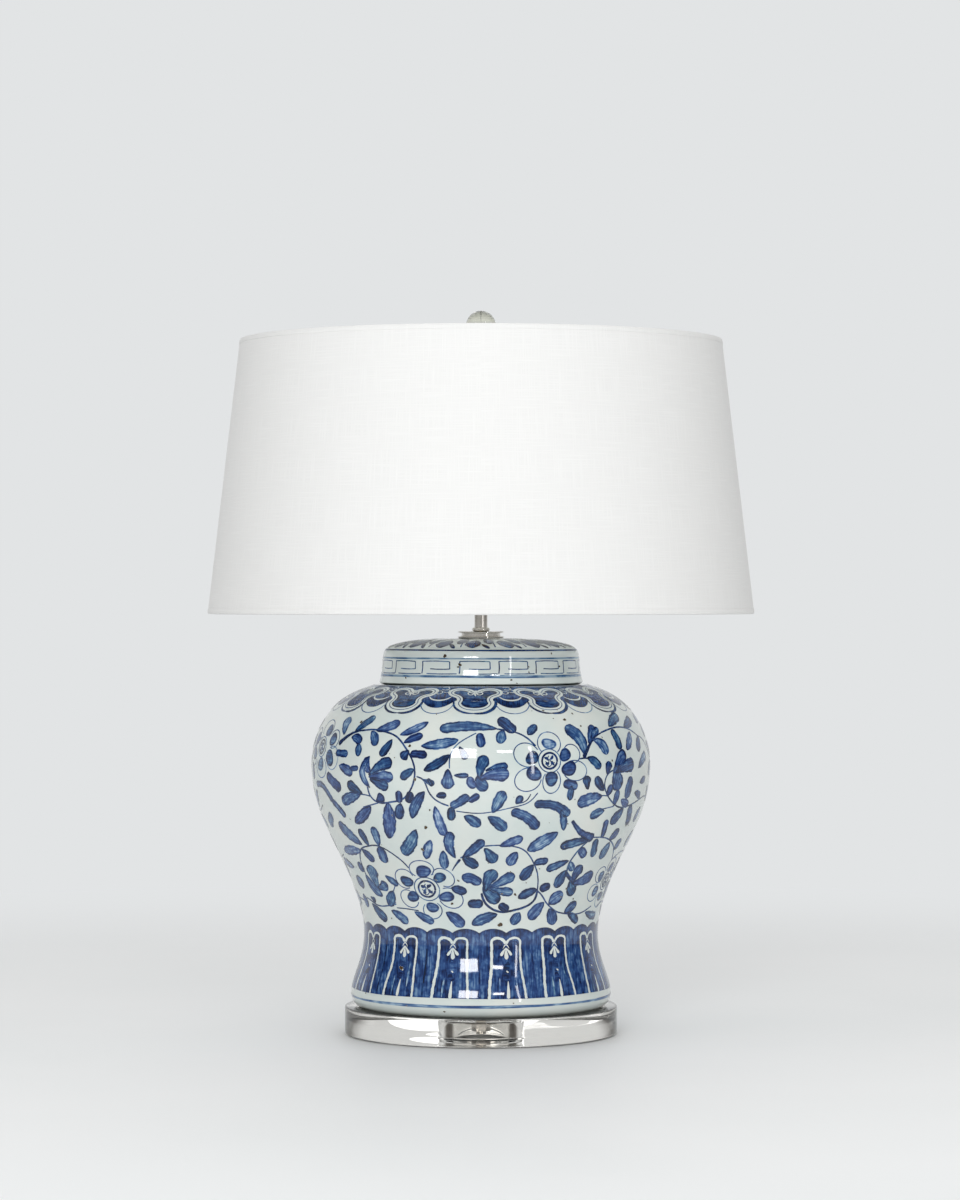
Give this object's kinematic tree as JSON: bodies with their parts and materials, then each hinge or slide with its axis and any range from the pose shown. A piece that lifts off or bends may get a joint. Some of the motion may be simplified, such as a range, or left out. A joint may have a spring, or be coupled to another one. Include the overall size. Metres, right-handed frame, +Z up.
{
  "type": "ginger jar table lamp",
  "caption": "Waisted ginger-jar table lamp, blue-and-white glazed, on a clear round slab, with nickel neck, harp, clear ball finial and white tapered drum shade.",
  "frame": {"origin": "centre of the circle the lamp stands on, at the table's level", "axes": "+Z up along the lamp's axis, -Y the front, +Y the side of the cord's bushing"},
  "size_m": [0.5099, 0.51, 0.6746],
  "materials": {
    "acrylic": "clear, polished",
    "pad_clear": "translucent bumper",
    "glaze": "pale celadon-white gloss glaze with cobalt painting",
    "nickel": "polished nickel plating",
    "steel": "zinc plated",
    "plastic_clear": "translucent white",
    "brass": "plain",
    "phenolic": "black moulded",
    "fibre": "grey vulcanised fibre",
    "glass_frost": "soft white frosted",
    "glass_black": "black glass insulator",
    "tin": "solder tip",
    "aluminium": "bulb screw cap",
    "cloth": "white linen-look hardback cloth",
    "styrene": "white backing film",
    "crystal": "clear solid ball"
  },
  "bodies": {
    "lamp": {"base_pads": "pad_clear", "acrylic_base": "acrylic", "bottom_washer": "steel", "bottom_lock_washer": "steel", "bottom_nut": "nickel", "lamp_pipe": "nickel", "jar": "glaze", "cord_bushing": "plastic_clear", "jar_lid": "glaze", "check_ring": "nickel", "neck_bead": "nickel", "neck_tube": "nickel", "harp_saddle": "nickel", "socket_cap": "nickel", "cap_set_screw": "steel", "socket_shell": "nickel", "insulating_sleeve": "fibre", "socket_interior": "phenolic", "terminal_screws": "brass", "screw_shell": "brass", "centre_contact": "brass"},
    "harp_frame": {"harp": "nickel"},
    "ferrule_l": {"ferrule_left": "nickel"},
    "ferrule_r": {"ferrule_right": "nickel"},
    "swivel": {"harp_stud": "nickel"},
    "shade": {"shade_spider": "steel", "shade_top_ring": "steel", "shade_bottom_ring": "steel", "shade_liner": "styrene", "shade_fabric": "cloth", "shade_top_trim": "cloth", "shade_bottom_trim": "cloth"},
    "finial": {"finial_base": "nickel", "finial_ball": "crystal"},
    "switch": {"switch_stem": "phenolic", "switch_knob": "phenolic"},
    "bulb": {"bulb_glass": "glass_frost", "bulb_shell": "aluminium", "bulb_insulator": "glass_black", "bulb_contact": "tin"}
  },
  "joints": [
    {"name": "harp_lift", "type": "slide", "parent": "lamp", "child": "harp_frame", "axis": [0, 0, 1], "range_m": [0, 0.12]},
    {"name": "ferrule_left_slide", "type": "slide", "parent": "harp_frame", "child": "ferrule_l", "axis": [0, 0, 1], "range_m": [0, 0.012]},
    {"name": "ferrule_right_slide", "type": "slide", "parent": "harp_frame", "child": "ferrule_r", "axis": [0, 0, 1], "range_m": [0, 0.012]},
    {"name": "shade_swivel", "type": "hinge", "parent": "harp_frame", "child": "swivel", "pos_m": [0, 0, 0.6335], "axis": [0, 0, 1], "continuous": true},
    {"name": "shade_lift", "type": "slide", "parent": "swivel", "child": "shade", "axis": [0, 0, 1], "range_m": [0, 0.05]},
    {"name": "finial_unscrew", "type": "slide", "parent": "shade", "child": "finial", "axis": [0, 0, 1], "range_m": [0, 0.02]},
    {"name": "switch_turn", "type": "hinge", "parent": "lamp", "child": "switch", "pos_m": [0, -0.02, 0.4322], "axis": [0, -1, 0], "continuous": true},
    {"name": "bulb_unscrew", "type": "slide", "parent": "lamp", "child": "bulb", "axis": [0, 0, 1], "range_m": [0, 0.026]}
  ]
}
